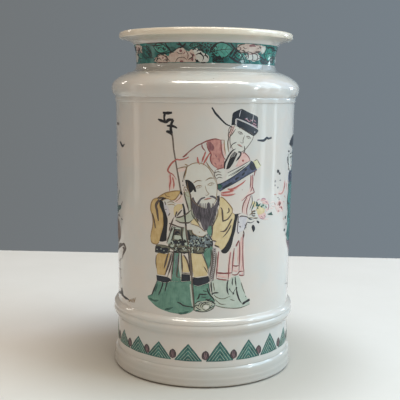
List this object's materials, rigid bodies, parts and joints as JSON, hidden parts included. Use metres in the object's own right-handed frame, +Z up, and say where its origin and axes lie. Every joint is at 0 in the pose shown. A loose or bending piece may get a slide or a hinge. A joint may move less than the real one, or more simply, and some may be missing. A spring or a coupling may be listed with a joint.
{
  "type": "albarello jar",
  "caption": "Straight-sided porcelain drug jar with a girdle above the foot, a rolled shoulder, a waisted neck and an everted lip, open at the top.",
  "frame": {"origin": "centre of the circle that the foot stands on, at table level", "axes": "+Z up along the jar's axis; -Y towards the side with the two painted figures; +X to that side's right"},
  "size_m": [0.1462, 0.1462, 0.26],
  "materials": {
    "glazed_porcelain": "clear glossy glaze over white porcelain, painted with overglaze enamels",
    "biscuit": "unglazed, matte"
  },
  "bodies": {
    "root": {"foot_ring": "biscuit", "floor_slab": "glazed_porcelain", "foot_wall": "glazed_porcelain", "girdle": "glazed_porcelain", "body_wall": "glazed_porcelain", "shoulder": "glazed_porcelain", "neck": "glazed_porcelain", "lip": "glazed_porcelain"}
  },
  "joints": []
}
